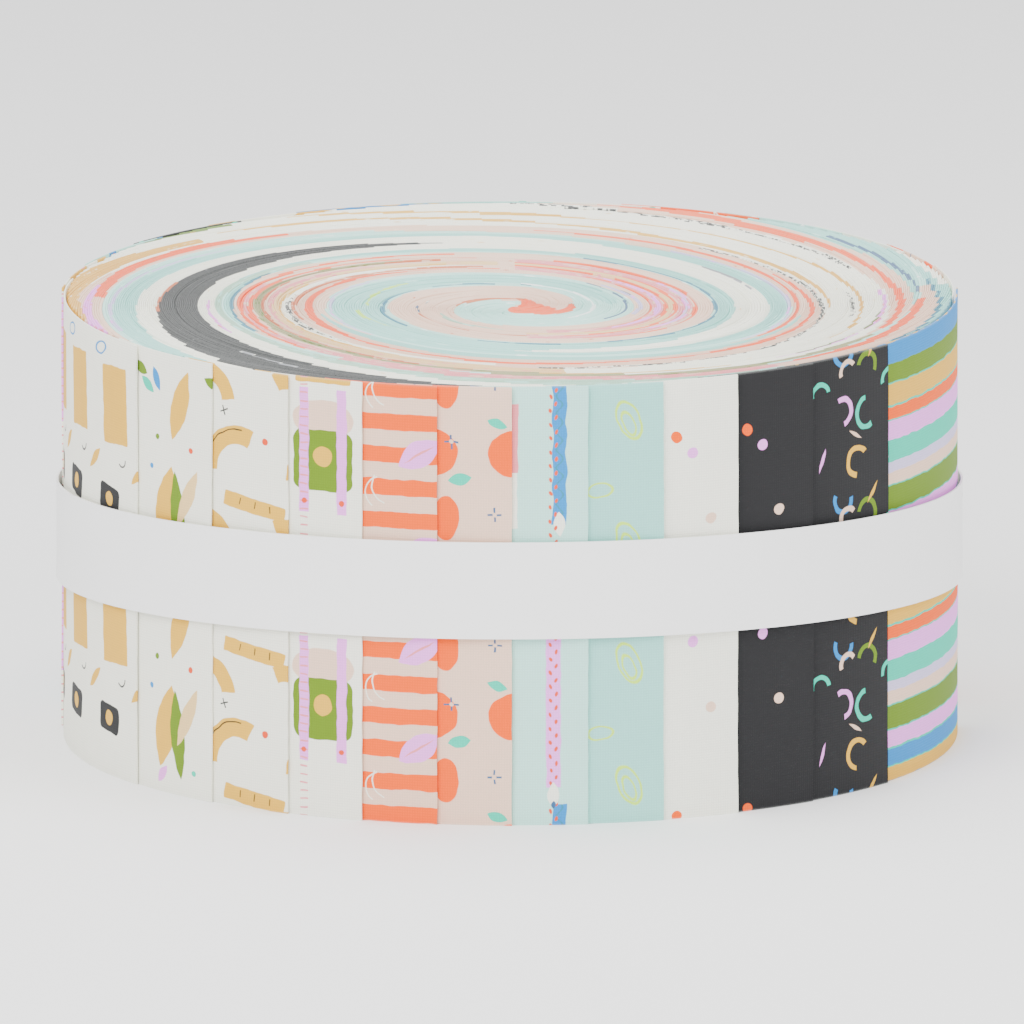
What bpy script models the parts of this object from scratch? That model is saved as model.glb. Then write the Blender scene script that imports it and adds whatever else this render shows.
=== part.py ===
"""Roll of cotton strips wound from the middle of their stack, in a lapped paper band.

Metres, +Z up. The origin is the middle of the flat underside, and -Y is the front.
"""

import math

import bmesh
import bpy
from mathutils import Vector

# Driving dimensions
ROLL_RADIUS = 0.0635
STRIP_WIDTH = 0.0635            # two and a half inches, the height of the roll
STACK_THICKNESS = 0.0082        # the strips laid on each other, where the winding starts
THICKENING = 247.0              # per square metre; more strips join outwards and the stack thickens
CORE = Vector((0.0008, -0.0085, 0.0))   # where the winding starts
CORE_TURN = math.radians(180.0)
OVALNESS = 0.13                 # the middle of the winding is longer from back left to front right
RIM_ROUND = 0.0004
END_STEP = 0.0004               # a strip end on top of the next strip
END_RISER = math.radians(0.35)
OUTER_TURN = 0.0012             # the outermost turns stand level with the top
MAX_CHORD = math.radians(6.0)

BAND_HEIGHT = 0.0140
BAND_MIDDLE = 0.0299            # height of its middle at the sides of the roll
BAND_SLOPE = 0.066              # it sits a little higher in front
BAND_THICKNESS = 0.0010
GAP = 0.0003
LAP_HALF = math.radians(8.0)
LAP_RAMP = math.radians(15.0)
BAND_STEP = math.radians(4.0)

# Visible arc of each strip end in degrees, left to right from the first seam in front, then round
# the back
FRONT_ARCS = (14.6, 12.0, 10.4, 9.9, 9.6, 9.8, 10.0, 10.5, 12.0, 14.9)
SIDE_ARC = 36.5
BACK_STRIPS = 12
BACK_ARC = 14.3
FIRST_SEAM = math.radians(213.8)

# The bundles of strips that show as arms of the swirl: share of the stack, and how far their cut
# edges lie below the top
BUNDLES = (
    (0.24, 0.0001),
    (0.20, 0.0005),
    (0.22, -0.0002),
    (0.16, 0.0006),
    (0.18, 0.0002),
)
CREASE_DEPTH = 0.0010
CREASE_SHARE = 0.22             # of a bundle's width, on each side of its crown
HALF_TURN_STEPS = 16
HALF_TURNS = 6
SKY = 0.002                     # how far the cutters pass the top

FINISHES = {
    "strip_roll": ((0.93, 0.80, 0.66, 1.0), 0.85),
    "paper_band": ((0.95, 0.95, 0.94, 1.0), 0.55),
}


def clear_scene():
    for item in list(bpy.data.objects):
        bpy.data.objects.remove(item, do_unlink=True)


def make_collection(name):
    group = bpy.data.collections.new(name)
    bpy.context.scene.collection.children.link(group)
    return group


def make_material(name):
    colour, roughness = FINISHES[name]
    finish = bpy.data.materials.new(name)
    finish.use_nodes = True
    shader = finish.node_tree.nodes["Principled BSDF"]
    shader.inputs["Base Color"].default_value = colour
    shader.inputs["Roughness"].default_value = roughness
    shader.inputs["Metallic"].default_value = 0.0
    return finish


def add_object(bm, name, group):
    mesh = bpy.data.meshes.new(name)
    bm.to_mesh(mesh)
    bm.free()
    item = bpy.data.objects.new(name, mesh)
    group.objects.link(item)
    return item


def seam_angles():
    """Angles round the roll at which the strip ends lie, from the first seam in front."""
    arcs = FRONT_ARCS + (SIDE_ARC,) + (BACK_ARC,) * BACK_STRIPS
    angles = [FIRST_SEAM]
    for arc in arcs:
        angles.append(angles[-1] + math.radians(arc))
    return angles


def side_outline():
    """(angle, radius) round the side, where each strip end steps down onto the next strip."""
    seams = seam_angles()
    outline = []
    for start, end in zip(seams, seams[1:] + [seams[0] + math.tau]):
        span = end - start - END_RISER
        count = max(1, math.ceil(span / MAX_CHORD))
        for i in range(count + 1):
            share = i / count
            outline.append((start + END_RISER + span * share, ROLL_RADIUS - END_STEP * (1.0 - share)))
    return outline


def make_drum(group):
    """The whole roll with its stepped side and eased rims, still with a plain top."""
    outline = side_outline()
    count = len(outline)
    bm = bmesh.new()
    bmesh.ops.create_cone(
        bm, cap_ends=True, segments=count, radius1=ROLL_RADIUS, radius2=ROLL_RADIUS, depth=STRIP_WIDTH
    )
    caps = [face for face in bm.faces if len(face.verts) == count]
    for vert in bm.verts:
        place = round(math.atan2(vert.co.y, vert.co.x) / (math.tau / count)) % count
        angle, radius = outline[place]
        vert.co.x = radius * math.cos(angle)
        vert.co.y = radius * math.sin(angle)
        vert.co.z += STRIP_WIDTH / 2
    bmesh.ops.inset_region(bm, faces=caps, thickness=RIM_ROUND, use_even_offset=True)
    inside = {vert for cap in caps for vert in cap.verts}
    for vert in bm.verts:
        if vert not in inside:
            vert.co.z = min(max(vert.co.z, RIM_ROUND), STRIP_WIDTH - RIM_ROUND)
    return add_object(bm, "strip_roll", group)


def wound_point(offset, turned):
    """Place in plan of the layer at offset across the stack, turned round the middle by that angle.

    The stack is wound from its middle, so its two halves leave on opposite sides and every half
    turn is an arc about one of two centres, half a stack apart on each side of the middle.
    """
    half_turn = int(abs(turned) // math.pi)
    along = abs(turned) - half_turn * math.pi
    side = 1.0 if turned >= 0.0 else -1.0
    reach = STACK_THICKNESS * (0.5 + half_turn) - side * offset
    hub = STACK_THICKNESS * (0.5 if half_turn % 2 == 0 else -0.5)
    angle = along - math.pi / 2 + half_turn * math.pi
    return Vector((reach * math.cos(angle), hub + reach * math.sin(angle), 0.0)) * side


def seat(plan):
    """A point of an even winding, turned, thickened outwards, made oval and moved with the core."""
    turn = math.atan2(plan.y, plan.x) + CORE_TURN
    radius = plan.length * (1.0 + THICKENING * plan.length ** 2)
    inward = max(0.0, 1.0 - (radius / ROLL_RADIUS) ** 3)
    radius *= 1.0 - OVALNESS * inward * math.sin(2.0 * turn)
    return CORE * inward + Vector((radius * math.cos(turn), radius * math.sin(turn), 0.0))


def stack_columns():
    """(offset across the stack, depth below the top) over the bundles and the creases between."""
    columns = [(-STACK_THICKNESS / 2, CREASE_DEPTH)]
    edge = -STACK_THICKNESS / 2
    for share, depth in BUNDLES:
        width = share * STACK_THICKNESS
        columns.append((edge + width * CREASE_SHARE, depth))
        columns.append((edge + width * (1.0 - CREASE_SHARE), depth))
        edge += width
        columns.append((edge, CREASE_DEPTH))
    return columns


def make_winding(group):
    """What lies above the cut edges of the wound strips, as wide as the winding."""
    columns = stack_columns()
    steps = HALF_TURNS * HALF_TURN_STEPS
    bm = bmesh.new()
    rows = []
    for step in range(-steps, steps + 1):
        turned = step * math.pi / HALF_TURN_STEPS
        row = []
        for offset, depth in columns:
            place = seat(wound_point(offset, turned))
            place.z = STRIP_WIDTH - depth
            row.append(bm.verts.new(place))
        rows.append(row)
    for row, following in zip(rows, rows[1:]):
        for i in range(len(columns) - 1):
            bm.faces.new((row[i], following[i], following[i + 1], row[i + 1]))
    bmesh.ops.remove_doubles(bm, verts=bm.verts, dist=0.00001)
    made = bmesh.ops.extrude_face_region(bm, geom=bm.faces[:], use_keep_orig=True)
    for item in made["geom"]:
        if isinstance(item, bmesh.types.BMVert):
            item.co.z = STRIP_WIDTH + SKY
    bmesh.ops.recalc_face_normals(bm, faces=bm.faces)
    return as_cutter(add_object(bm, "swirl_cutter", group))


def make_inner_round(group):
    """The round inside the outermost turns, to which the swirl is cut."""
    radius = ROLL_RADIUS - OUTER_TURN
    bm = bmesh.new()
    segments = math.ceil(math.tau / MAX_CHORD)
    bmesh.ops.create_cone(
        bm, cap_ends=True, segments=segments, radius1=radius, radius2=radius, depth=STRIP_WIDTH
    )
    bmesh.ops.translate(bm, verts=bm.verts, vec=(0.0, 0.0, STRIP_WIDTH - SKY))
    return as_cutter(add_object(bm, "inner_round", group))


def as_cutter(item):
    item.hide_render = True
    item.display_type = "WIRE"
    return item


def cut(item, operation, tool):
    step = item.modifiers.new(tool.name, "BOOLEAN")
    step.operation = operation
    step.solver = "EXACT"
    step.object = tool


def band_radius(turned):
    """Middle of the paper at an angle past its first edge; it climbs over its own start."""
    under = ROLL_RADIUS + GAP + BAND_THICKNESS / 2
    ramp_start = math.tau - LAP_RAMP
    climb = min(max((turned - ramp_start) / LAP_RAMP, 0.0), 1.0)
    return under + (BAND_THICKNESS + GAP) * climb


def make_band(group):
    """A strip of paper once round the roll, its end lapped over its start at the back."""
    first_edge = math.pi / 2 - LAP_HALF
    whole = math.tau + 2 * LAP_HALF
    count = math.ceil(whole / BAND_STEP)
    bm = bmesh.new()
    ring = []
    for i in range(count + 1):
        turned = whole * i / count
        angle = first_edge + turned
        radius = band_radius(turned)
        x = radius * math.cos(angle)
        y = radius * math.sin(angle)
        ring.append(bm.verts.new((x, y, BAND_MIDDLE - BAND_HEIGHT / 2 - BAND_SLOPE * y)))
    edges = [bm.edges.new(pair) for pair in zip(ring, ring[1:])]
    made = bmesh.ops.extrude_edge_only(bm, edges=edges)
    upper = [item for item in made["geom"] if isinstance(item, bmesh.types.BMVert)]
    bmesh.ops.translate(bm, verts=upper, vec=(0.0, 0.0, BAND_HEIGHT))
    bmesh.ops.recalc_face_normals(bm, faces=bm.faces)
    band = add_object(bm, "paper_band", group)
    paper = band.modifiers.new("paper", "SOLIDIFY")
    paper.thickness = BAND_THICKNESS
    paper.offset = 0.0
    return band


def finish(item):
    item.data.materials.append(make_material(item.name))
    item.data.shade_smooth()
    item.data.set_sharp_from_angle(angle=math.radians(30.0))


clear_scene()
parts = make_collection("fabric_strip_roll")
cutters = make_collection("cutters")
roll = make_drum(parts)
swirl = make_winding(cutters)
cut(swirl, "INTERSECT", make_inner_round(cutters))
cut(roll, "DIFFERENCE", swirl)
finish(roll)
finish(make_band(parts))
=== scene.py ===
import math
import random

import bmesh
import bpy
import numpy as np
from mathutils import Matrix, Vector


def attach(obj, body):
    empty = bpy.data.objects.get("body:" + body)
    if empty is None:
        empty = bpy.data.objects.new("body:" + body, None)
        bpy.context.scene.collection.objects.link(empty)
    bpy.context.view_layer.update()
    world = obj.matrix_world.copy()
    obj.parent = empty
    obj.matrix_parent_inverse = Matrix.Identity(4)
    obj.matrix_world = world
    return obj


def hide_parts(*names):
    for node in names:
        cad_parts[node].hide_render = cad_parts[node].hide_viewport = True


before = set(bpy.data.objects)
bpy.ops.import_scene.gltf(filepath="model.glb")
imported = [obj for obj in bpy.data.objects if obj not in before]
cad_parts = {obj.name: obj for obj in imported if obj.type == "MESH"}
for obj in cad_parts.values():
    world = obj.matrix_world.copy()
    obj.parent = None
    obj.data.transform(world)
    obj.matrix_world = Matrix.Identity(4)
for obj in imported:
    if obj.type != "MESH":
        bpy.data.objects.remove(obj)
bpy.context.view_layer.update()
print("frame loaded")

mm = 0.001

# The roll, as in the part's source
roll = {
    "radius": 63.5 * mm,
    "width": 63.5 * mm,             # of a strip, so the height of the roll
    "stack": 8.2 * mm,              # all strips laid together, where the winding starts
    "thickening": 247.0,            # per square metre
    "coreX": 0.8 * mm,
    "coreY": -8.5 * mm,
    "coreTurn": math.radians(180.0),
    "ovalness": 0.13,
}

inks = {
    "cream": (250, 250, 236),
    "white": (250, 255, 252),
    "gold": (230, 178, 62),
    "tan": (236, 200, 140),
    "charcoal": (34, 34, 36),
    "grey": (150, 152, 158),
    "olive": (104, 136, 24),
    "moss": (160, 158, 110),
    "blue": (30, 136, 208),
    "deepBlue": (46, 132, 158),
    "navy": (58, 98, 140),
    "teal": (18, 204, 172),
    "aqua": (152, 217, 207),
    "paleAqua": (184, 234, 223),
    "sage": (168, 208, 184),
    "lime": (200, 240, 90),
    "pink": (246, 155, 246),
    "rose": (240, 140, 150),
    "lavender": (206, 196, 232),
    "peach": (239, 203, 180),
    "orange": (255, 94, 0),
    "rust": (214, 110, 52),
    "red": (232, 80, 42),
    "paper": (250, 250, 250),
}


def ink(name):
    parts = [level / 255.0 for level in inks[name]]
    linear = [p / 12.92 if p <= 0.04045 else ((p + 0.055) / 1.055) ** 2.4 for p in parts]
    return (*linear, 1.0)


# Shader building

def addNode(tree, kind, **settings):
    node = tree.nodes.new(kind)
    for key, value in settings.items():
        setattr(node, key, value)
    return node


def feed(tree, socket, value):
    if isinstance(value, bpy.types.NodeSocket):
        tree.links.new(value, socket)
    else:
        socket.default_value = value


def calc(tree, operation, *values, clamp=False):
    node = addNode(tree, "ShaderNodeMath", operation=operation, use_clamp=clamp)
    for socket, value in zip(node.inputs, values):
        feed(tree, socket, value)
    return node.outputs[0]


def calcVector(tree, operation, *values):
    node = addNode(tree, "ShaderNodeVectorMath", operation=operation)
    for socket, value in zip(node.inputs, values):
        feed(tree, socket, value)
    return node.outputs["Value" if operation in ("LENGTH", "DOT_PRODUCT") else "Vector"]


def mixColours(tree, share, below, above, blend="MIX"):
    node = addNode(tree, "ShaderNodeMix", data_type="RGBA", blend_type=blend)
    feed(tree, node.inputs[0], share)
    feed(tree, node.inputs[6], below)
    feed(tree, node.inputs[7], above)
    return node.outputs[2]


def grain(tree, place, scale, detail=2.0):
    node = addNode(tree, "ShaderNodeTexNoise")
    feed(tree, node.inputs["Vector"], place)
    node.inputs["Scale"].default_value = scale
    node.inputs["Detail"].default_value = detail
    return node.outputs["Fac"]


def stretched(tree, place, factors):
    return calcVector(tree, "MULTIPLY", place, factors)


def openGroup(name, inputs, outputs):
    tree = bpy.data.node_groups.new(name, "ShaderNodeTree")
    for label, kind, start in inputs:
        socket = tree.interface.new_socket(label, in_out="INPUT", socket_type="NodeSocket" + kind)
        if start is not None:
            socket.default_value = start
    for label, kind in outputs:
        tree.interface.new_socket(label, in_out="OUTPUT", socket_type="NodeSocket" + kind)
    given = tree.nodes.new("NodeGroupInput")
    result = tree.nodes.new("NodeGroupOutput")
    return tree, given.outputs, result.inputs


def useGroup(tree, name, **values):
    node = addNode(tree, "ShaderNodeGroup")
    node.node_tree = bpy.data.node_groups[name]
    for label, value in values.items():
        feed(tree, node.inputs[label], value)
    return node.outputs


# Plain weave in millimetres: threads of both ways, with slubs, and painted shade that darkens the gaps
# between threads
def makeWeave():
    tree, given, result = openGroup(
        "plainWeave",
        [("Place", "Vector", None), ("Pitch", "Float", 0.37)],
        [("Height", "Float"), ("GapShadeAndSlubs", "Float")],
    )
    phases = calcVector(tree, "SCALE", given["Place"])
    feed(tree, phases.node.inputs["Scale"], calc(tree, "DIVIDE", math.pi, given["Pitch"]))
    apart = addNode(tree, "ShaderNodeSeparateXYZ")
    feed(tree, apart.inputs[0], phases)
    warp = calc(tree, "ABSOLUTE", calc(tree, "SINE", apart.outputs[0]))
    weft = calc(tree, "ABSOLUTE", calc(tree, "SINE", apart.outputs[1]))
    bulge = calc(tree, "MULTIPLY", warp, weft)
    slubs = calc(
        tree, "ADD",
        grain(tree, stretched(tree, given["Place"], (0.2, 2.6, 1.0)), 1.0),
        grain(tree, stretched(tree, given["Place"], (2.6, 0.2, 1.0)), 1.0),
    )
    height = calc(tree, "MULTIPLY_ADD", slubs, 0.35, bulge)
    feed(tree, result["Height"], height)
    # painted shade: the colour is darker where the threads dip into the gaps between them, and the slubs
    # add streaks of real tone
    feed(tree, result["GapShadeAndSlubs"], calc(tree, "MULTIPLY_ADD", height, 0.11, 0.87))


# Slight unevenness of the printed colour, in patches and in specks
def makeInkTone():
    tree, given, result = openGroup(
        "inkTone",
        [("Color", "Color", None), ("Place", "Vector", None), ("Amount", "Float", 0.06)],
        [("Color", "Color")],
    )
    patches = grain(tree, given["Place"], 0.12, 3.0)
    specks = grain(tree, given["Place"], 2.4, 1.0)
    both = calc(tree, "MULTIPLY_ADD", specks, 0.5, patches)
    level = calc(tree, "MULTIPLY_ADD", calc(tree, "SUBTRACT", both, 0.75), given["Amount"], 1.0)
    shaded = calcVector(tree, "SCALE", given["Color"])
    feed(tree, shaded.node.inputs["Scale"], level)
    feed(tree, result["Color"], shaded)


# The cut edge shows the undyed middle of the threads and a little fluff
def makeCutEdge():
    tree, given, result = openGroup(
        "cutEdge",
        [
            ("Color", "Color", None), ("Place", "Vector", None),
            ("Depth", "Float", 0.30), ("Paleness", "Float", 0.22),
        ],
        [("Color", "Color"), ("Height", "Float")],
    )
    apart = addNode(tree, "ShaderNodeSeparateXYZ")
    feed(tree, apart.inputs[0], given["Place"])
    fromTop = calc(tree, "SUBTRACT", roll["width"] / mm, apart.outputs[1])
    nearest = calc(tree, "MINIMUM", fromTop, apart.outputs[1])
    fluff = grain(tree, stretched(tree, given["Place"], (3.0, 1.0, 1.0)), 1.6, 3.0)
    ragged = calc(tree, "MULTIPLY_ADD", fluff, 0.4, calc(tree, "SUBTRACT", nearest, 0.2))
    edge = calc(tree, "SUBTRACT", 1.0, calc(tree, "DIVIDE", ragged, given["Depth"]), clamp=True)
    share = calc(tree, "MULTIPLY", edge, calc(tree, "MULTIPLY", given["Paleness"], fluff))
    feed(tree, result["Color"], mixColours(tree, share, given["Color"], ink("white")))
    feed(tree, result["Height"], calc(tree, "MULTIPLY", edge, fluff))


# Printed shapes. Place, Middle, Repeat and Size are in millimetres on the cloth, and the edge of
# a shape is as soft as screen printing leaves it
softEdge = 0.09


def openShape(name, extra=()):
    tree, given, result = openGroup(
        name,
        [
            ("Place", "Vector", None), ("Middle", "Vector", None), ("Repeat", "Vector", None),
            ("Size", "Vector", None), ("Turn", "Float", 0.0), *extra,
        ],
        [("Mask", "Float")],
    )
    offset = calcVector(tree, "SUBTRACT", given["Place"], given["Middle"])
    half = calcVector(tree, "MULTIPLY", given["Repeat"], (0.5, 0.5, 0.5))
    lowest = calcVector(tree, "MULTIPLY", half, (-1.0, -1.0, -1.0))
    wrapped = calcVector(tree, "WRAP", offset, half, lowest)
    turned = addNode(tree, "ShaderNodeVectorRotate", rotation_type="Z_AXIS")
    feed(tree, turned.inputs["Vector"], wrapped)
    feed(tree, turned.inputs["Angle"], calc(tree, "MULTIPLY", given["Turn"], -1.0))
    size = addNode(tree, "ShaderNodeSeparateXYZ")
    feed(tree, size.inputs[0], given["Size"])
    apart = addNode(tree, "ShaderNodeSeparateXYZ")
    feed(tree, apart.inputs[0], turned.outputs[0])
    return tree, given, result, apart.outputs, size.outputs


def inside(tree, distance):
    return calc(tree, "MULTIPLY_ADD", distance, -1.0 / softEdge, 0.5, clamp=True)


def makeBlockShape():
    tree, given, result, at, size = openShape("blockShape", [("Corner", "Float", 0.3)])
    straightAcross = calc(tree, "SUBTRACT", size[0], given["Corner"])
    straightUp = calc(tree, "SUBTRACT", size[1], given["Corner"])
    across = calc(tree, "SUBTRACT", calc(tree, "ABSOLUTE", at[0]), straightAcross)
    up = calc(tree, "SUBTRACT", calc(tree, "ABSOLUTE", at[1]), straightUp)
    corner = addNode(tree, "ShaderNodeCombineXYZ")
    feed(tree, corner.inputs[0], calc(tree, "MAXIMUM", across, 0.0))
    feed(tree, corner.inputs[1], calc(tree, "MAXIMUM", up, 0.0))
    outer = calcVector(tree, "LENGTH", corner.outputs[0])
    inner = calc(tree, "MINIMUM", calc(tree, "MAXIMUM", across, up), 0.0)
    distance = calc(tree, "SUBTRACT", calc(tree, "ADD", outer, inner), given["Corner"])
    feed(tree, result["Mask"], inside(tree, distance))


def makeRoundShape():
    tree, given, result, at, size = openShape("roundShape", [("Hollow", "Float", -1.0)])
    scaled = addNode(tree, "ShaderNodeCombineXYZ")
    feed(tree, scaled.inputs[0], calc(tree, "DIVIDE", at[0], size[0]))
    feed(tree, scaled.inputs[1], calc(tree, "DIVIDE", at[1], size[1]))
    reach = calcVector(tree, "LENGTH", scaled.outputs[0])
    small = calc(tree, "MINIMUM", size[0], size[1])
    full = inside(tree, calc(tree, "MULTIPLY", calc(tree, "SUBTRACT", reach, 1.0), small))
    hole = inside(tree, calc(tree, "MULTIPLY", calc(tree, "SUBTRACT", reach, given["Hollow"]), small))
    feed(tree, result["Mask"], calc(tree, "SUBTRACT", full, hole, clamp=True))


def makeLeafShape():
    tree, given, result, at, size = openShape("leafShape")
    along = calc(tree, "POWER", calc(tree, "DIVIDE", calc(tree, "ABSOLUTE", at[0]), size[0]), 2.0)
    belly = calc(tree, "MULTIPLY", size[1], calc(tree, "SUBTRACT", 1.0, along))
    distance = calc(tree, "SUBTRACT", calc(tree, "ABSOLUTE", at[1]), belly)
    feed(tree, result["Mask"], inside(tree, distance))


def makeStarShape():
    tree, given, result, at, size = openShape("starShape")
    across = calc(tree, "ABSOLUTE", at[0])
    up = calc(tree, "ABSOLUTE", at[1])
    arms = calc(tree, "SUBTRACT", calc(tree, "MINIMUM", across, up), size[1])
    reach = calc(tree, "SUBTRACT", calc(tree, "MAXIMUM", across, up), size[0])
    feed(tree, result["Mask"], inside(tree, calc(tree, "MAXIMUM", arms, reach)))


def makeRibbonShape():
    tree, given, result, at, size = openShape(
        "ribbonShape", [("Swing", "Float", 0.0), ("Wave", "Float", 6.0)]
    )
    phase = calc(tree, "MULTIPLY", calc(tree, "DIVIDE", at[1], given["Wave"]), math.tau)
    shift = calc(tree, "MULTIPLY", calc(tree, "SINE", phase), given["Swing"])
    fromMiddle = calc(tree, "ABSOLUTE", calc(tree, "SUBTRACT", at[0], shift))
    across = calc(tree, "SUBTRACT", fromMiddle, size[0])
    ends = calc(tree, "SUBTRACT", calc(tree, "ABSOLUTE", at[1]), size[1])
    feed(tree, result["Mask"], inside(tree, calc(tree, "MAXIMUM", across, ends)))


def makeArcShape():
    tree, given, result, at, size = openShape("arcShape", [("Spread", "Float", 1.0)])
    place = addNode(tree, "ShaderNodeCombineXYZ")
    feed(tree, place.inputs[0], at[0])
    feed(tree, place.inputs[1], at[1])
    reach = calcVector(tree, "LENGTH", place.outputs[0])
    fromLine = calc(tree, "ABSOLUTE", calc(tree, "SUBTRACT", reach, size[0]))
    line = calc(tree, "SUBTRACT", fromLine, size[1])
    upright = calc(tree, "MULTIPLY", reach, calc(tree, "COSINE", given["Spread"]))
    ends = calc(tree, "SUBTRACT", upright, at[1])
    feed(tree, result["Mask"], inside(tree, calc(tree, "MAXIMUM", line, ends)))


makeWeave()
makeInkTone()
makeCutEdge()
makeBlockShape()
makeRoundShape()
makeLeafShape()
makeStarShape()
makeRibbonShape()
makeArcShape()

clothFinish = {
    "roughness": 0.88,
    "specular": 0.25,
    "sheen": 0.08,
    "sheenRoughness": 0.5,
    "bump": 0.35,
    "bumpHeight": 0.05 * mm,
    "wobble": 0.25,                 # mm that a printed outline strays from the drawn one
    "wobbleScale": 0.45,
    "dashEdge": 14.0,               # how sharply a dash of another ink starts on a cut edge
}


def openCloth(name):
    material = bpy.data.materials.new(name)
    material.use_nodes = True
    tree = material.node_tree
    shader = tree.nodes["Principled BSDF"]
    shader.inputs["Roughness"].default_value = clothFinish["roughness"]
    shader.inputs["Specular IOR Level"].default_value = clothFinish["specular"]
    shader.inputs["Sheen Weight"].default_value = clothFinish["sheen"]
    shader.inputs["Sheen Roughness"].default_value = clothFinish["sheenRoughness"]
    uv = addNode(tree, "ShaderNodeUVMap", uv_map="cloth")
    place = calcVector(tree, "SCALE", uv.outputs[0])
    place.node.inputs["Scale"].default_value = 1.0 / mm
    return material, tree, shader, place


def closeCloth(tree, shader, place, colour):
    toned = useGroup(tree, "inkTone", Color=colour, Place=place)["Color"]
    weave = useGroup(tree, "plainWeave", Place=place)
    # the ink colour is scaled by the weave's painted shade in the thread gaps and by the slubs' streaks of
    # tone
    gapShadedColour = calcVector(tree, "SCALE", toned)
    feed(tree, gapShadedColour.node.inputs["Scale"], weave["GapShadeAndSlubs"])
    edge = useGroup(tree, "cutEdge", Color=gapShadedColour, Place=place)
    feed(tree, shader.inputs["Base Color"], edge["Color"])
    bump = addNode(tree, "ShaderNodeBump")
    bump.inputs["Strength"].default_value = clothFinish["bump"]
    bump.inputs["Distance"].default_value = clothFinish["bumpHeight"]
    feed(tree, bump.inputs["Height"], calc(tree, "ADD", weave["Height"], edge["Height"]))
    feed(tree, shader.inputs["Normal"], bump.outputs[0])


# Printed cloth: a ground and shapes laid on it in order. A shape is its kind, ink, middle, size,
# turn in degrees, and what else its group takes
def printedCloth(name, design):
    material, tree, shader, place = openCloth(name)
    wobble = addNode(tree, "ShaderNodeTexNoise")
    feed(tree, wobble.inputs["Vector"], place)
    wobble.inputs["Scale"].default_value = clothFinish["wobbleScale"]
    wobble.inputs["Detail"].default_value = 1.0
    far = clothFinish["wobble"]
    spread, lowest = (2.0 * far, 2.0 * far, 0.0), (-far, -far, 0.0)
    shift = calcVector(tree, "MULTIPLY_ADD", wobble.outputs["Color"], spread, lowest)
    drawn = calcVector(tree, "ADD", place, shift)
    colour = ink(design["ground"])
    for kind, inkName, middle, size, turn, *extra in design["shapes"]:
        values = dict(extra[0]) if extra else {}
        repeat = values.pop("Repeat", design["repeat"])
        mask = useGroup(
            tree, kind + "Shape", Place=drawn, Middle=(*middle, 0.0), Repeat=(*repeat, 1.0),
            Size=(*size, 1.0), Turn=math.radians(turn), **values,
        )["Mask"]
        colour = mixColours(tree, mask, colour, ink(inkName))
    closeCloth(tree, shader, place, colour)
    return material


# Turns in the roll show only their cut edges, where a print is a row of dashes
def edgeCloth(name, ground, accent, share, dash):
    material, tree, shader, place = openCloth(name)
    rows = grain(tree, stretched(tree, place, (1.0 / dash, 0.2, 1.0)), 1.0, 2.0)
    cut = 0.72 - 0.5 * share
    steep = clothFinish["dashEdge"]
    mask = calc(tree, "MULTIPLY_ADD", rows, steep, -steep * cut, clamp=True)
    colour = mixColours(tree, mask, ink(ground), ink(accent))
    closeCloth(tree, shader, place, colour)
    return material


# Meshes of swept rings, with the cloth's own length and height as its UV map, in metres
def sweptMesh(name, runs, material):
    points, faces, maps = [], [], []
    count = 0
    for rings, along, heights in runs:
        steps, size = rings.shape[:2]
        index = count + np.arange(steps * size).reshape(steps, size)
        following = np.roll(index, -1, axis=1)
        sides = (index[:-1], index[1:], following[1:], following[:-1])
        faces.append(np.stack(sides, axis=-1).reshape(-1, 4))
        low = np.arange(size // 2 - 1)
        high = size - 1 - low
        for ring in (index[0], index[-1]):
            faces.append(np.stack((ring[low], ring[low + 1], ring[high - 1], ring[high]), axis=-1))
        points.append(rings.reshape(-1, 3))
        flat = np.empty((steps, size, 2))
        flat[..., 0] = along.reshape(steps, -1)
        flat[..., 1] = heights
        maps.append(flat.reshape(-1, 2))
        count += steps * size
    points = np.concatenate(points)
    faces = np.concatenate(faces)
    maps = np.concatenate(maps)
    mesh = bpy.data.meshes.new(name)
    mesh.vertices.add(len(points))
    mesh.vertices.foreach_set("co", points.ravel())
    mesh.loops.add(faces.size)
    mesh.loops.foreach_set("vertex_index", faces.ravel())
    mesh.polygons.add(len(faces))
    mesh.polygons.foreach_set("loop_start", np.arange(0, faces.size, 4))
    mesh.polygons.foreach_set("loop_total", np.full(len(faces), 4))
    layer = mesh.uv_layers.new(name="cloth")
    layer.data.foreach_set("uv", maps[faces.ravel()].ravel())
    mesh.update()
    bm = bmesh.new()
    bm.from_mesh(mesh)
    bmesh.ops.recalc_face_normals(bm, faces=bm.faces)
    bm.to_mesh(mesh)
    bm.free()
    mesh.shade_smooth()
    mesh.set_sharp_from_angle(angle=math.radians(50.0))
    mesh.materials.append(material)
    piece = bpy.data.objects.new(name, mesh)
    bpy.context.scene.collection.objects.link(piece)
    return piece


def seated(x, y):
    away = np.hypot(x, y)
    turn = np.arctan2(y, x) + roll["coreTurn"]
    radius = away * (1.0 + roll["thickening"] * away ** 2)
    inward = np.maximum(0.0, 1.0 - (radius / roll["radius"]) ** 3)
    radius = radius * (1.0 - roll["ovalness"] * inward * np.sin(2.0 * turn))
    return (
        roll["coreX"] * inward + radius * np.cos(turn),
        roll["coreY"] * inward + radius * np.sin(turn),
    )


def woundPlace(offset, turned):
    halfTurn = np.floor(np.abs(turned) / math.pi)
    along = np.abs(turned) - halfTurn * math.pi
    side = np.where(turned >= 0.0, 1.0, -1.0)
    reach = roll["stack"] * (0.5 + halfTurn) - side * offset
    hub = roll["stack"] * np.where(halfTurn % 2 == 0, 0.5, -0.5)
    angle = along - math.pi / 2 + halfTurn * math.pi
    return seated(side * reach * np.cos(angle), side * (hub + reach * np.sin(angle)))


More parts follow.
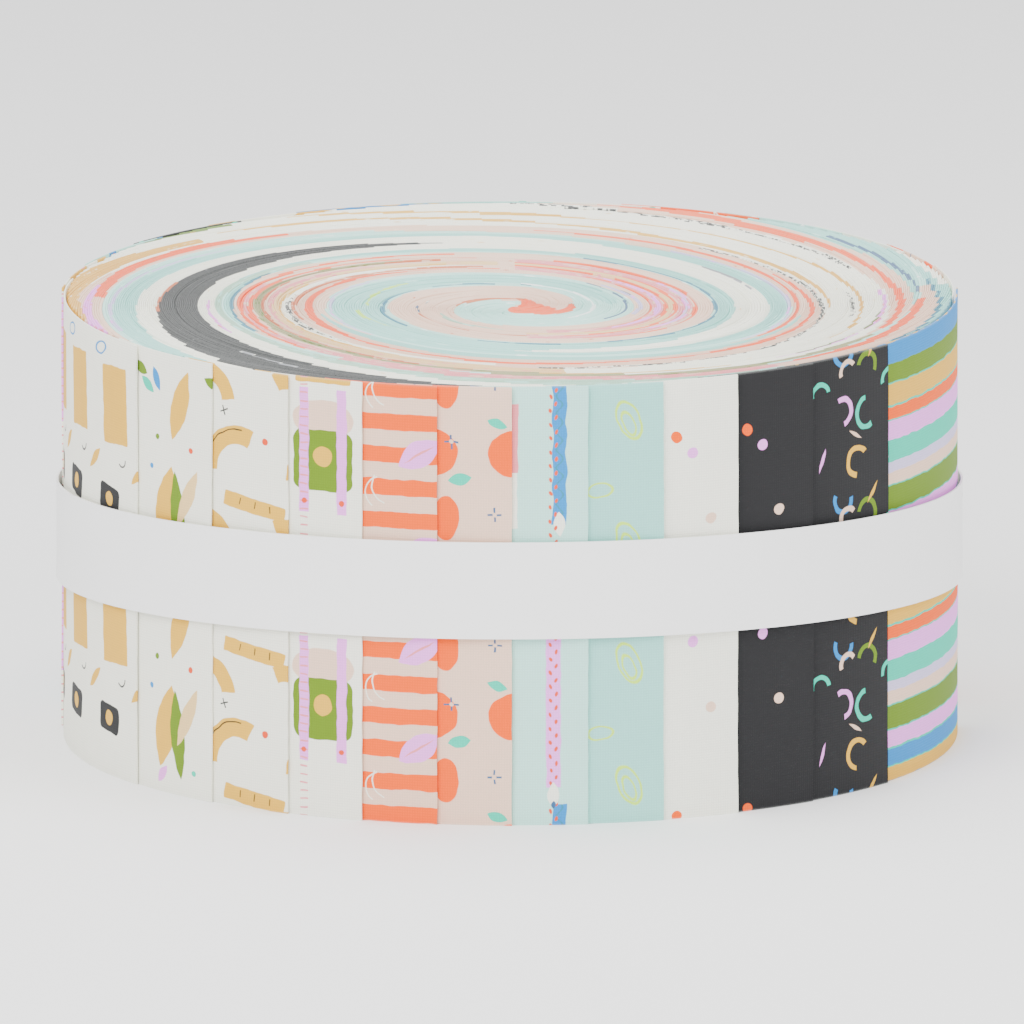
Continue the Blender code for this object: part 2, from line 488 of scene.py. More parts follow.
# Colours at the cut edges, along each arm of the winding. A run is its finish and the places
# (degrees wound, inner edge, outer edge) it passes, the edges as shares of the arm's width.
# A later run lies over an earlier one
startArm = [
    ("paleAqua", [(0, 0, 1), (1200, 0, 1)]),
    ("orange", [(0, 0, 0.58), (15, 0, 0.45), (30, 0, 0.27), (50, 0, 0.12), (70, 0, 0.04)]),
    ("orange", [(196, 0, 0.1), (215, 0, 0.2), (240, 0, 0.16), (258, 0, 0.05), (262, 0, 0)]),
    ("peach", [
        (262, 0, 0.1), (340, 0, 0.14), (400, 0, 0.15), (450, 0, 0.1), (500, 0, 0.12),
        (560, 0, 0.12), (620, 0, 0.03), (680, 0, 0.06), (740, 0, 0.05),
    ]),
    ("navy", [(222, 0.87, 0.9), (250, 0.86, 0.91), (280, 0.9, 0.94), (305, 0.95, 0.98), (320, 0.98, 1)]),
    ("white", [
        (212, 0.44, 0.5), (230, 0.4, 0.46), (270, 0.36, 0.41), (330, 0.34, 0.38), (370, 0.38, 0.42),
    ]),
    ("aqua", [
        (262, 0.6, 0.78), (300, 0.42, 0.86), (345, 0.42, 0.88), (380, 0.3, 0.88), (430, 0.2, 0.84),
        (480, 0.24, 0.92), (540, 0.2, 0.94), (600, 0.1, 0.86), (660, 0.1, 0.82), (720, 0.1, 0.84),
        (760, 0.06, 0.84), (800, 0.04, 0.9), (840, 0.04, 0.98), (860, 0.1, 1),
    ]),
    ("lime", [(396, 0.56, 0.62), (408, 0.5, 0.54), (420, 0.43, 0.47), (436, 0.38, 0.41)]),
    ("lime", [(443, 0.5, 0.56), (452, 0.5, 0.58), (466, 0.46, 0.5), (486, 0.44, 0.47)]),
    ("deepBlue", [
        (346, 0.29, 0.34), (372, 0.26, 0.31), (400, 0.2, 0.24), (432, 0.16, 0.2), (460, 0.18, 0.22),
        (490, 0.22, 0.26), (530, 0.2, 0.24), (560, 0.15, 0.19), (600, 0.07, 0.1), (620, 0.04, 0.08),
        (650, 0.07, 0.11), (700, 0.06, 0.1),
    ]),
    ("sage", [
        (760, 0, 0.08), (800, 0.02, 0.1), (840, 0.04, 0.14), (870, 0.1, 0.28), (900, 0.24, 0.72),
        (930, 0.45, 0.65),
    ]),
    ("lavender", [
        (398, 0.94, 0.97), (420, 0.87, 0.91), (438, 0.84, 0.88), (460, 0.88, 0.91),
        (485, 0.95, 0.98),
    ]),
    ("peach", [(405, 0.97, 1), (432, 0.91, 1), (460, 0.94, 1), (490, 0.99, 1)]),
    ("peach", [
        (580, 0.99, 1), (610, 0.9, 1), (640, 0.86, 1), (690, 0.84, 1), (715, 0.87, 1),
        (740, 0.94, 1),
    ]),
    ("lavender", [(588, 0.92, 0.95), (610, 0.86, 0.89), (640, 0.84, 0.87), (690, 0.82, 0.84)]),
    ("orange", [(592, 0.96, 1), (610, 0.93, 0.97), (640, 0.91, 0.95), (680, 0.92, 0.97), (715, 0.96, 1)]),
    ("cream", [
        (538, 0.64, 0.68), (548, 0.58, 0.74), (567, 0.44, 0.72), (600, 0.31, 0.68),
        (620, 0.28, 0.66), (653, 0.29, 0.63), (700, 0.27, 0.69), (723, 0.23, 0.72),
        (753, 0.14, 0.71), (787, 0.08, 0.72), (813, 0.08, 0.76), (840, 0.115, 0.84),
        (867, 0.24, 0.92), (893, 0.46, 0.8), (905, 0.62, 0.74),
    ]),
    ("grey", [(640, 0.6, 0.62), (655, 0.59, 0.63), (676, 0.6, 0.62)]),
    ("charcoal", [
        (731, 0.42, 0.47), (747, 0.36, 0.54), (767, 0.27, 0.55), (793, 0.235, 0.56),
        (810, 0.24, 0.59), (833, 0.28, 0.69), (860, 0.38, 0.84), (880, 0.53, 0.88),
        (896, 0.7, 0.76),
    ]),
    ("rust", [(786, 0.54, 0.56), (800, 0.55, 0.58), (812, 0.58, 0.6)]),
    ("grey", [(846, 0.46, 0.48), (856, 0.52, 0.55), (868, 0.6, 0.62)]),
    ("pink", [(800, 0.13, 0.15), (815, 0.15, 0.18), (832, 0.2, 0.22)]),
    ("lavender", [(765, 0.87, 0.9), (790, 0.9, 0.93), (825, 0.95, 0.98)]),
    ("rose", [
        (862, 0, 0.08), (885, 0, 0.2), (905, 0.1, 0.3), (925, 0.2, 0.5), (945, 0.26, 0.46),
        (960, 0.3, 0.4),
    ]),
    ("peach", [(935, 0.3, 0.6), (955, 0.2, 0.55), (975, 0.08, 0.4), (990, 0, 0.2)]),
    ("moss", [(895, 0, 0.04), (915, 0, 0.18), (930, 0.04, 0.22), (950, 0, 0.12), (960, 0, 0.02)]),
    ("cream", [(915, 0, 0.06), (935, 0, 0.1), (948, 0, 0.02)]),
    ("orange", [(938, 0.22, 0.28), (955, 0.12, 0.22), (970, 0.02, 0.12), (984, 0, 0.05)]),
    ("aqua", [(955, 0.44, 0.7), (975, 0.26, 0.6), (995, 0.04, 0.5), (1010, 0, 0.4), (1030, 0, 0.3)]),
    ("deepBlue", [(955, 0.42, 0.45), (972, 0.27, 0.3), (986, 0.12, 0.15), (996, 0.02, 0.05)]),
    ("cream", [(990, 0.16, 0.5), (1005, 0.04, 0.4), (1030, 0, 0.3)]),
]
endArm = [
    ("peach", [(0, 0, 1), (1200, 0, 1)]),
    ("paleAqua", [(0, 0, 0.36), (30, 0, 0.2), (60, 0, 0.13), (100, 0, 0.08), (120, 0, 0)]),
    ("paleAqua", [(190, 0, 0.1), (215, 0, 0.14), (260, 0, 0.14), (300, 0, 0.12), (345, 0, 0.02)]),
    ("orange", [
        (0, 0.48, 1), (15, 0.32, 1), (30, 0.2, 1), (42, 0.15, 0.95), (60, 0.12, 0.6),
        (80, 0.1, 0.42), (110, 0.12, 0.34), (140, 0.14, 0.3),
    ]),
    ("rust", [(138, 0.14, 0.3), (180, 0.11, 0.26), (215, 0.1, 0.22), (240, 0.13, 0.16)]),
    ("grey", [(228, 0.68, 0.71), (238, 0.61, 0.64)]),
    ("navy", [(246, 0.7, 0.73), (262, 0.64, 0.67)]),
    ("rust", [(270, 0.64, 0.71), (300, 0.65, 0.71), (345, 0.64, 0.7), (362, 0.63, 0.67)]),
    ("sage", [(273, 0.33, 0.38), (300, 0.35, 0.41), (352, 0.3, 0.37)]),
    ("tan", [(362, 0.42, 0.6), (400, 0.46, 0.58), (435, 0.42, 0.54), (480, 0.48, 0.6), (540, 0.46, 0.6)]),
    ("rose", [(362, 0.6, 0.84), (400, 0.66, 0.8), (432, 0.6, 0.76), (480, 0.64, 0.84), (540, 0.64, 0.82)]),
    ("rose", [(372, 0.26, 0.4), (400, 0.28, 0.42), (432, 0.24, 0.4), (480, 0.26, 0.46), (540, 0.26, 0.42)]),
    ("orange", [
        (378, 0.85, 0.88), (405, 0.82, 0.86), (432, 0.79, 0.83), (470, 0.84, 0.87),
        (495, 0.86, 0.89), (535, 0.82, 0.85),
    ]),
    ("pink", [(402, 0.7, 0.76), (432, 0.67, 0.73), (455, 0.71, 0.77), (478, 0.76, 0.8)]),
    ("lavender", [(412, 0.72, 0.74), (432, 0.69, 0.72), (470, 0.75, 0.78)]),
    ("orange", [
        (376, 0.62, 0.66), (405, 0.58, 0.62), (435, 0.54, 0.58), (470, 0.58, 0.62),
        (500, 0.61, 0.64), (540, 0.58, 0.62),
    ]),
    ("orange", [
        (384, 0.48, 0.51), (410, 0.44, 0.48), (432, 0.41, 0.45), (470, 0.46, 0.5),
        (500, 0.49, 0.52), (540, 0.46, 0.5),
    ]),
    ("pink", [(395, 0.34, 0.39), (432, 0.29, 0.37), (465, 0.34, 0.4), (500, 0.36, 0.39)]),
    ("orange", [(396, 0.25, 0.28), (432, 0.21, 0.25), (470, 0.25, 0.28), (505, 0.28, 0.31)]),
    ("lavender", [(420, 0.04, 0.1), (450, 0.06, 0.13), (490, 0.02, 0.08)]),
    ("navy", [(462, 0.08, 0.11), (474, 0.11, 0.14)]),
    ("aqua", [(582, 0.99, 1), (605, 0.95, 1), (630, 0.94, 1), (652, 0.99, 1)]),
    ("deepBlue", [(590, 0.97, 1), (606, 0.92, 0.95), (628, 0.92, 0.95), (650, 0.97, 1)]),
    ("orange", [
        (552, 0.95, 0.99), (580, 0.88, 0.92), (602, 0.82, 0.86), (625, 0.82, 0.86),
        (645, 0.88, 0.92), (672, 0.96, 1),
    ]),
    ("rose", [(600, 0.74, 0.8), (630, 0.78, 0.83), (650, 0.83, 0.9), (680, 0.9, 1), (712, 0.97, 1)]),
    ("orange", [
        (546, 0.8, 0.84), (575, 0.74, 0.78), (602, 0.69, 0.74), (622, 0.71, 0.76),
        (642, 0.78, 0.83), (655, 0.84, 0.88),
    ]),
    ("rust", [
        (548, 0.72, 0.76), (580, 0.64, 0.68), (605, 0.59, 0.63), (630, 0.6, 0.64),
        (660, 0.68, 0.73), (700, 0.8, 0.86), (716, 0.86, 0.9),
    ]),
    ("moss", [
        (562, 0.7, 0.72), (600, 0.62, 0.69), (630, 0.64, 0.72), (660, 0.72, 0.8), (690, 0.8, 0.9),
        (722, 0.88, 1), (745, 0.97, 1),
    ]),
    ("rose", [(570, 0.54, 0.6), (600, 0.48, 0.56), (626, 0.5, 0.56), (650, 0.56, 0.62)]),
    ("tan", [
        (545, 0.48, 0.62), (580, 0.44, 0.52), (605, 0.38, 0.48), (640, 0.44, 0.56),
        (680, 0.54, 0.72), (715, 0.62, 0.84), (735, 0.72, 0.96),
    ]),
    ("cream", [
        (550, 0.36, 0.44), (600, 0.28, 0.37), (640, 0.36, 0.46), (680, 0.44, 0.54),
        (714, 0.46, 0.6),
    ]),
    ("gold", [(556, 0.46, 0.49), (600, 0.38, 0.41), (640, 0.46, 0.49), (680, 0.54, 0.58)]),
    ("rust", [(548, 0.3, 0.35), (580, 0.26, 0.3), (606, 0.24, 0.28), (640, 0.3, 0.34)]),
    ("dashes", [(606, 0.3, 0.33), (624, 0.32, 0.38), (645, 0.38, 0.44), (670, 0.44, 0.48)]),
    ("orange", [
        (545, 0.22, 0.28), (575, 0.15, 0.22), (600, 0.07, 0.15), (622, 0.07, 0.17),
        (648, 0.14, 0.23), (680, 0.27, 0.34), (718, 0.37, 0.43),
    ]),
    ("aqua", [(632, 0, 0.03), (660, 0, 0.12), (700, 0, 0.2), (735, 0, 0.2), (765, 0, 0.1), (790, 0, 0.02)]),
    ("cream", [
        (728, 0.7, 0.96), (742, 0.56, 1), (760, 0.44, 1), (780, 0.3, 0.98), (800, 0.2, 0.8),
        (830, 0.1, 0.66), (860, 0.08, 0.62), (890, 0.08, 0.72), (920, 0.12, 0.9), (960, 0.16, 0.9),
        (1030, 0.3, 0.9),
    ]),
    ("gold", [(724, 0.9, 0.96), (740, 0.95, 1), (752, 0.99, 1)]),
    ("gold", [
        (772, 0.7, 0.72), (795, 0.55, 0.58), (820, 0.45, 0.48), (850, 0.38, 0.42),
        (875, 0.38, 0.42), (900, 0.45, 0.5), (925, 0.6, 0.66),
    ]),
    ("gold", [
        (800, 0.24, 0.26), (815, 0.18, 0.24), (840, 0.12, 0.18), (870, 0.11, 0.17),
        (890, 0.18, 0.24), (915, 0.34, 0.4), (940, 0.4, 0.44),
    ]),
    ("gold", [(945, 0.24, 0.34), (965, 0.2, 0.38), (980, 0.2, 0.34), (1000, 0.1, 0.3)]),
    ("dashes", [
        (722, 0.6, 0.66), (745, 0.54, 0.58), (760, 0.44, 0.48), (775, 0.31, 0.35), (790, 0.2, 0.24),
        (810, 0.12, 0.16), (832, 0.06, 0.1), (860, 0.04, 0.07),
    ]),
    ("dashes", [(790, 0.5, 0.54), (802, 0.44, 0.47), (812, 0.41, 0.43)]),
    ("dashes", [(828, 0.6, 0.64), (855, 0.56, 0.6), (882, 0.62, 0.68), (905, 0.78, 0.82)]),
    ("orange", [
        (720, 0.37, 0.43), (745, 0.26, 0.34), (770, 0.14, 0.2), (795, 0.08, 0.12),
        (815, 0.01, 0.05), (830, 0, 0.02),
    ]),
    ("peach", [(720, 0.46, 0.56), (745, 0.36, 0.42), (765, 0.24, 0.3)]),
    ("pink", [(758, 0.95, 0.98), (775, 0.86, 0.89), (792, 0.77, 0.8), (812, 0.67, 0.7)]),
    ("olive", [(762, 0.92, 0.94), (778, 0.83, 0.85), (794, 0.74, 0.76)]),
    ("peach", [
        (780, 0.96, 1), (800, 0.78, 1), (820, 0.68, 0.96), (850, 0.62, 0.9), (880, 0.68, 0.95),
        (900, 0.8, 1),
    ]),
    ("aqua", [(800, 0.98, 1), (820, 0.88, 1), (850, 0.8, 1), (880, 0.84, 1)]),
    ("navy", [(806, 0.99, 1), (824, 0.9, 0.93), (848, 0.84, 0.87)]),
    ("orange", [
        (782, 0.96, 1), (798, 0.86, 0.93), (815, 0.77, 0.83), (832, 0.72, 0.77), (856, 0.67, 0.75),
        (882, 0.74, 0.83), (898, 0.84, 0.9),
    ]),
    ("orange", [(930, 0.02, 0.1), (945, 0.06, 0.18), (962, 0.05, 0.16), (985, 0, 0.08)]),
    ("peach", [(915, 0, 0.1), (925, 0, 0.06), (960, 0, 0.04)]),
    ("pink", [(975, 0.1, 0.14), (1000, 0.06, 0.12), (1020, 0.04, 0.1)]),
    ("olive", [(935, 0.56, 0.62), (950, 0.52, 0.6), (970, 0.5, 0.6)]),
]

# Finish at the cut edge: ground, accent, share of accent, and length of its dashes in mm
edgeFinishes = {
    "paleAqua": ("paleAqua", "white", 0.12, 5.0),
    "aqua": ("aqua", "paleAqua", 0.14, 6.0),
    "sage": ("sage", "paleAqua", 0.3, 4.0),
    "peach": ("peach", "rust", 0.04, 3.0),
    "orange": ("orange", "rust", 0.15, 3.0),
    "rust": ("rust", "peach", 0.2, 2.5),
    "rose": ("rose", "peach", 0.3, 3.0),
    "pink": ("pink", "rose", 0.25, 3.0),
    "cream": ("cream", "tan", 0.06, 4.0),
    "white": ("white", "paleAqua", 0.1, 4.0),
    "charcoal": ("charcoal", "grey", 0.0, 3.0),
    "grey": ("grey", "cream", 0.3, 2.0),
    "dashes": ("charcoal", "cream", 0.5, 0.9),
    "gold": ("gold", "cream", 0.15, 4.0),
    "tan": ("tan", "rose", 0.2, 3.0),
    "moss": ("moss", "olive", 0.25, 3.0),
    "olive": ("olive", "gold", 0.1, 3.0),
    "lime": ("lime", "aqua", 0.2, 3.0),
    "deepBlue": ("deepBlue", "aqua", 0.15, 4.0),
    "navy": ("navy", "aqua", 0.2, 3.0),
    "lavender": ("lavender", "pink", 0.25, 4.0),
}

turns = {
    "layers": 32,
    "reach": math.radians(1150.0),          # how far each arm is wound before the rim cuts it
    "step": math.radians(4.0),
    "outside": roll["radius"] - 1.0 * mm,   # where a layer ends, under the strip ends
    "fullness": 0.92,                       # share of the pitch that is cloth
    "joinAt": 600.0,                        # degrees wound where more strips join
    "joinSpread": 60.0,
    "joinRamp": 24.0,
    "leastJoin": 0.04,                      # share of its width at which a joining strip starts
    "leastStep": 0.01,                      # radians from its start to its next ring
    "crown": 0.10 * mm,                     # rounding of a cut edge, and the share it takes
    "crownShare": 0.3,
    "unevenness": 0.07 * mm,                # of the cut edges' heights
    "bundles": (0.24, 0.44, 0.66, 0.82),    # shares of the stack at the creases of the swirl
    "creaseDepth": 0.25 * mm,
    "creaseWidth": 0.02,                    # share of the stack
    "mapShift": 0.05,                       # metres of cloth by which layers differ, for each radian
    "seed": 7,
}


def paintArm(arm, finishes, degrees, share):
    names = list(finishes)
    painted = np.zeros(len(degrees), dtype=int)
    for finish, places in arm:
        wound, lower, upper = (np.array(column, float) for column in zip(*places))
        here = (degrees >= wound[0]) & (degrees <= wound[-1])
        here &= share >= np.interp(degrees, wound, lower)
        here &= share < np.interp(degrees, wound, upper)
        painted[here] = names.index(finish)
    return painted


def layerRings(inner, outer, turned, top):
    rings = np.empty((len(turned), 6, 3))
    ease = turns["crownShare"] * (outer - inner)
    for column, offset in enumerate((inner, inner, inner + ease, outer - ease, outer, outer)):
        rings[:, column, 0], rings[:, column, 1] = woundPlace(offset, turned)
    rings[:, 0, 2] = rings[:, 5, 2] = 0.0
    rings[:, 1, 2] = rings[:, 4, 2] = top - turns["crown"]
    rings[:, 2, 2] = rings[:, 3, 2] = top
    return rings


def cutAtRim(centre, turned):
    x, y = woundPlace(centre, turned)
    away = np.hypot(x, y)
    past = np.nonzero(away > turns["outside"])[0]
    if not len(past):
        return turned
    last = past[0]
    part = (turns["outside"] - away[last - 1]) / (away[last] - away[last - 1])
    kept = turned[:last + 1].copy()
    kept[-1] = kept[-2] + (kept[-1] - kept[-2]) * part
    return kept


def makeTurns():
    rng = np.random.default_rng(turns["seed"])
    layers = turns["layers"]
    pitch = roll["stack"] / layers
    cloth = pitch * turns["fullness"] / 2.0
    wound = np.arange(0.0, turns["reach"], turns["step"])
    names = list(edgeFinishes)
    runs = {name: [] for name in names}
    heights = np.array([0.0, 1.0, 1.0, 1.0, 1.0, 0.0]) * roll["width"]
    joins = {
        side: turns["joinAt"] + turns["joinSpread"] * rng.uniform(-1, 1, layers + 1)
        for side in (1, -1)
    }

    def joined(side, gap, degrees):
        if gap < 1 or gap >= layers:
            return np.zeros(len(degrees))
        return np.clip((degrees - joins[side][gap]) / turns["joinRamp"], 0.0, 1.0)

    def topHeight(share, degrees, phase):
        narrow = turns["creaseWidth"]
        crease = sum(np.exp(-((share - place) / narrow) ** 2) for place in turns["bundles"])
        wave = np.sin(degrees / 23.0 + phase) + np.sin(degrees / 9.0 + 2.3 * phase)
        return roll["width"] - turns["creaseDepth"] * crease - turns["unevenness"] * (1.0 + 0.5 * wave)

    # Towards the middle of the winding is a larger offset in one arm and a smaller one in the other
    def addLayer(side, centre, innerCut, outerCut, turned, arm, phase):
        turned = cutAtRim(centre, turned)
        if len(turned) < 3:
            return
        degrees = np.degrees(np.abs(turned))
        share = 0.5 - side * centre / roll["stack"]
        low, high = innerCut(degrees), outerCut(degrees)
        inner, outer = centre + side * low, centre - side * high
        top = topHeight(share, degrees, phase)
        rings = layerRings(inner, outer, turned, top)
        middle = rings[:, 2, :2]
        along = np.concatenate([[0.0], np.cumsum(np.hypot(*np.diff(middle, axis=0).T))])
        along += phase * turns["mapShift"]
        painted = paintArm(arm, edgeFinishes, degrees[:-1] + 1.0, share)
        start = 0
        for step in range(1, len(painted) + 1):
            if step == len(painted) or painted[step] != painted[start]:
                run = (rings[start:step + 1], along[start:step + 1], heights)
                runs[names[painted[start]]].append(run)
                start = step

    for side, arm in ((1, startArm), (-1, endArm)):
        for layer in range(layers):
            offset = side * (0.5 * roll["stack"] - (layer + 0.5) * pitch)
            addLayer(
                side, offset,
                lambda d: cloth * (1.0 - 0.5 * joined(side, layer, d)),
                lambda d: cloth * (1.0 - 0.5 * joined(side, layer + 1, d)),
                side * wound, arm, rng.uniform(0, math.tau),
            )
        for gap in range(1, layers):
            offset = side * (0.5 * roll["stack"] - gap * pitch)
            begin = math.radians(joins[side][gap])
            later = np.concatenate([[begin], wound[wound > begin + turns["leastStep"]]])

            def half(d):
                return cloth * 0.5 * np.maximum(joined(side, gap, d), turns["leastJoin"])

            addLayer(side, offset, half, half, side * later, arm, rng.uniform(0, math.tau))
    for name, parts in runs.items():
        if not parts:
            continue
        material = edgeCloth(name + "Edge", *edgeFinishes[name])
        piece = sweptMesh("turns_" + name, parts, material)
        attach(piece, "root")
        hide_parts("strip_roll")


makeTurns()
print("wound turns made")

# Strip ends round the side, left to right in front, then round the back. Angles in degrees
stripEnds = {
    "firstSeam": 213.8,
    "frontArcs": (14.6, 12.0, 10.4, 9.9, 9.6, 9.8, 10.0, 10.5, 12.0, 14.9),
    "sideArc": 36.5,
    "backStrips": 12,
    "backArc": 14.3,
    "step": 0.4 * mm,               # a free end on top of the next strip
    "cloth": 0.27 * mm,
    "tail": 6.0 * mm,               # tucked under the strip before
    "tailDrop": 0.2 * mm,
    "lift": 0.16 * mm,              # of a free end
    "freeLength": 3.0 * mm,
    "rim": 0.15 * mm,               # at its cut edges a sheet thins by the softening on each face
    "softening": 0.07 * mm,
    "raggedness": 0.05 * mm,        # of a cut end
    "pace": 0.9 * mm,
    "rows": 33,
    "seed": 11,
}

